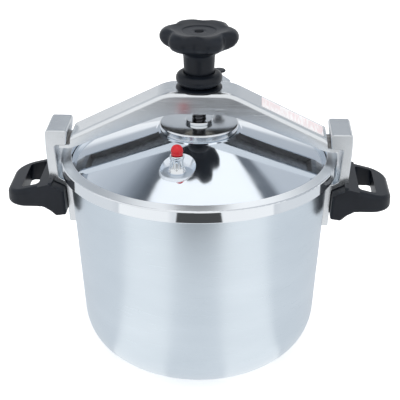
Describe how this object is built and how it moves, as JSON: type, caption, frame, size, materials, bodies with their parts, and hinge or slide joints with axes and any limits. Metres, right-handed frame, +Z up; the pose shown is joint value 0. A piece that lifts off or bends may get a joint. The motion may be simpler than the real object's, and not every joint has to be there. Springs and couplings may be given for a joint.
{
  "type": "pressure canner",
  "caption": "Deep pressure canner whose conical lid is clamped by a screw knob through a swing-out bridge hooked under wall brackets, with relief valves and handles.",
  "frame": {"origin": "centre of the flat base, on the surface the pot stands on", "axes": "+Z up, +X along the bridge towards the right-hand handle, -Y towards the indicator valve"},
  "size_m": [0.375, 0.27, 0.3359],
  "materials": {
    "pot_aluminium": "satin spun wall with a polished rim",
    "bracket_steel": "polished bent bar",
    "rivet_aluminium": "plain",
    "black_phenolic": "moulded phenolic, slight sheen",
    "screw_steel": "zinc plated",
    "rack_aluminium": "pressed sheet",
    "lid_polished": "mirror polished",
    "seal_rubber": "moulded seal",
    "plate_chrome": "mirror polished",
    "valve_chrome": "bright plated",
    "valve_brass": "turned",
    "red_silicone": "glossy",
    "bridge_steel": "brushed lengthwise",
    "nut_steel": "turned",
    "label_white": "printed film, plain",
    "screw_dark": "blackened, greased thread"
  },
  "bodies": {
    "pot": {"pot_body": "pot_aluminium", "left_bracket": "bracket_steel", "right_bracket": "bracket_steel", "left_bracket_rivets": "rivet_aluminium", "right_bracket_rivets": "rivet_aluminium", "left_handle": "black_phenolic", "right_handle": "black_phenolic", "left_handle_screws": "screw_steel", "right_handle_screws": "screw_steel"},
    "rack": {"canning_rack": "rack_aluminium"},
    "lid": {"lid": "lid_polished", "lid_gasket": "seal_rubber", "pressure_plate": "plate_chrome", "plate_washer": "seal_rubber", "plate_nut": "screw_steel", "plate_hub": "plate_chrome", "indicator_body": "valve_chrome", "indicator_washer": "seal_rubber", "indicator_nut": "valve_brass", "steam_nipple": "valve_brass", "steam_washer": "seal_rubber", "steam_nut": "valve_brass"},
    "indicator": {"indicator_cap": "red_silicone", "indicator_stem": "screw_steel", "indicator_stop": "seal_rubber"},
    "steam_valve": {"steam_weight": "valve_chrome", "steam_knob": "black_phenolic"},
    "bridge": {"bridge": "bridge_steel", "bridge_nut": "nut_steel", "collar_base": "black_phenolic", "nut_collar": "black_phenolic", "bridge_label": "label_white"},
    "knob": {"spindle": "screw_dark", "knob": "black_phenolic", "knob_screw": "screw_steel"}
  },
  "joints": [
    {"name": "lid_turn", "type": "hinge", "parent": "pot", "child": "lid", "pos_m": [0, 0, 0], "axis": [0, 0, 1], "range_deg": [-30, 30]},
    {"name": "knob_turn", "type": "hinge", "parent": "lid", "child": "knob", "pos_m": [0, 0, 0], "axis": [0, 0, 1], "range_deg": [0, 540]},
    {"name": "bridge_drop", "type": "slide", "parent": "lid", "child": "bridge", "axis": [0, 0, 1], "range_m": [-0.006, 0]},
    {"name": "indicator_rise", "type": "slide", "parent": "lid", "child": "indicator", "axis": [0, 0, 1], "range_m": [0, 0.004]},
    {"name": "steam_valve_lift", "type": "slide", "parent": "lid", "child": "steam_valve", "axis": [0, 0, 1], "range_m": [0, 0.012]},
    {"name": "rack_lift", "type": "slide", "parent": "pot", "child": "rack", "axis": [0, 0, 1], "range_m": [0, 0.15]}
  ],
  "couplings": [
    {"joint": "bridge_drop", "follows": "knob_turn", "m_per_rad": -0.00063662}
  ]
}
